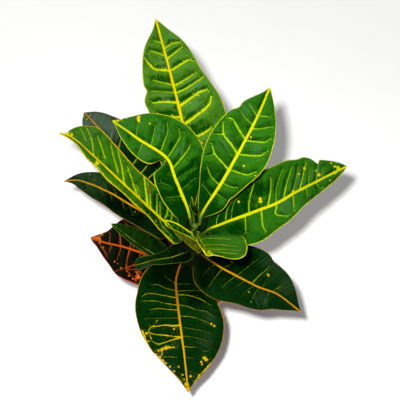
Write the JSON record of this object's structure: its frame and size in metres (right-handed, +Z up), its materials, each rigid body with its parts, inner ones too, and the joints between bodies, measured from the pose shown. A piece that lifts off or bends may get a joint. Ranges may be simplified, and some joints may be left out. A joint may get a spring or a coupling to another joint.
{
  "type": "potted croton",
  "caption": "Broad-leaved croton house plant on a woody stem, growing in a plain round pot of soil.",
  "frame": {"origin": "centre of the pot's flat base, on the surface that it stands on", "axes": "+Z up; -Y is the front, towards the raised front leaf, and +X is to the right seen from there"},
  "size_m": [0.3033, 0.3603, 0.3522],
  "materials": {
    "pot": "satin",
    "soil": "matte",
    "stem": "matte",
    "leaf_young": "satin",
    "leaf_mature": "satin",
    "leaf_old": "satin"
  },
  "bodies": {
    "root": {"pot": "pot", "soil": "soil", "stem": "stem", "leaf_01_tall_back": "leaf_young", "leaf_02_bent_left": "leaf_young", "leaf_03_right_top": "leaf_young", "leaf_04_far_right": "leaf_young", "leaf_05_long_left": "leaf_young", "leaf_06_front_raised": "leaf_young", "leaf_07_folded_small": "leaf_young", "leaf_08_upright_slip": "leaf_young", "leaf_09_left_shaded": "leaf_mature", "leaf_10_left_long_dark": "leaf_mature", "leaf_11_hidden_right": "leaf_mature", "leaf_12_lower_right": "leaf_mature", "leaf_13_curled_narrow": "leaf_mature", "leaf_14_left_folded": "leaf_mature", "leaf_15_front_broad": "leaf_mature", "leaf_16_red_left": "leaf_old", "leaf_17_lowest_front": "leaf_old", "leaf_18_red_inner": "leaf_old"}
  },
  "joints": []
}
